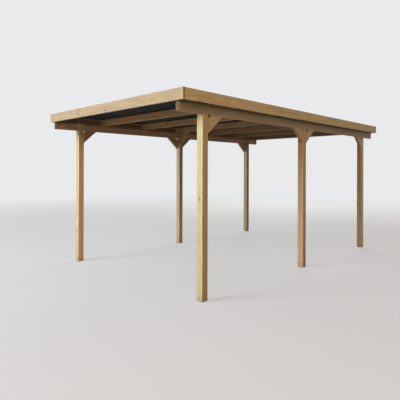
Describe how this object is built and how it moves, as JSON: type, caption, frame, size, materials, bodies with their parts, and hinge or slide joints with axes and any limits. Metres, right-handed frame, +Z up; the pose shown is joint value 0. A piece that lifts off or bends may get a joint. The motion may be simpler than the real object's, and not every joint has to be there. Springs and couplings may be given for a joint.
{
  "type": "timber carport",
  "caption": "Open timber carport: notched posts carry side beams with knee braces, rafters lie across them, and fascia boards hide a flat ribbed sheet roof.",
  "frame": {"origin": "on the ground at the middle of the plan", "axes": "+Z up, the front at -Y, +X to the right for someone facing the front from outside, +Y along the length"},
  "size_m": [3, 5.2, 2.32],
  "materials": {
    "post_timber": "planed, pressure treated pine",
    "beam_timber": "planed, pressure treated pine",
    "brace_timber": "planed, pressure treated pine",
    "rafter_timber": "planed, pressure treated pine",
    "fascia_timber": "planed, pressure treated pine",
    "roof_sheet": "matt coil coated steel"
  },
  "bodies": {
    "root": {"post_front_left": "post_timber", "post_middle_left": "post_timber", "post_rear_left": "post_timber", "side_beam_left": "beam_timber", "brace_front_left": "brace_timber", "brace_middle_front_left": "brace_timber", "brace_middle_rear_left": "brace_timber", "brace_rear_left": "brace_timber", "brace_cross_left": "brace_timber", "fascia_left": "fascia_timber", "post_front_right": "post_timber", "post_middle_right": "post_timber", "post_rear_right": "post_timber", "side_beam_right": "beam_timber", "brace_front_right": "brace_timber", "brace_middle_front_right": "brace_timber", "brace_middle_rear_right": "brace_timber", "brace_rear_right": "brace_timber", "brace_cross_right": "brace_timber", "fascia_right": "fascia_timber", "fascia_front": "fascia_timber", "fascia_rear": "fascia_timber", "rafter_1": "rafter_timber", "rafter_2": "rafter_timber", "rafter_3": "rafter_timber", "rafter_4": "rafter_timber", "rafter_5": "rafter_timber", "rafter_6": "rafter_timber", "rafter_7": "rafter_timber", "roof_sheet_1": "roof_sheet", "roof_sheet_2": "roof_sheet", "roof_sheet_3": "roof_sheet"}
  },
  "joints": []
}
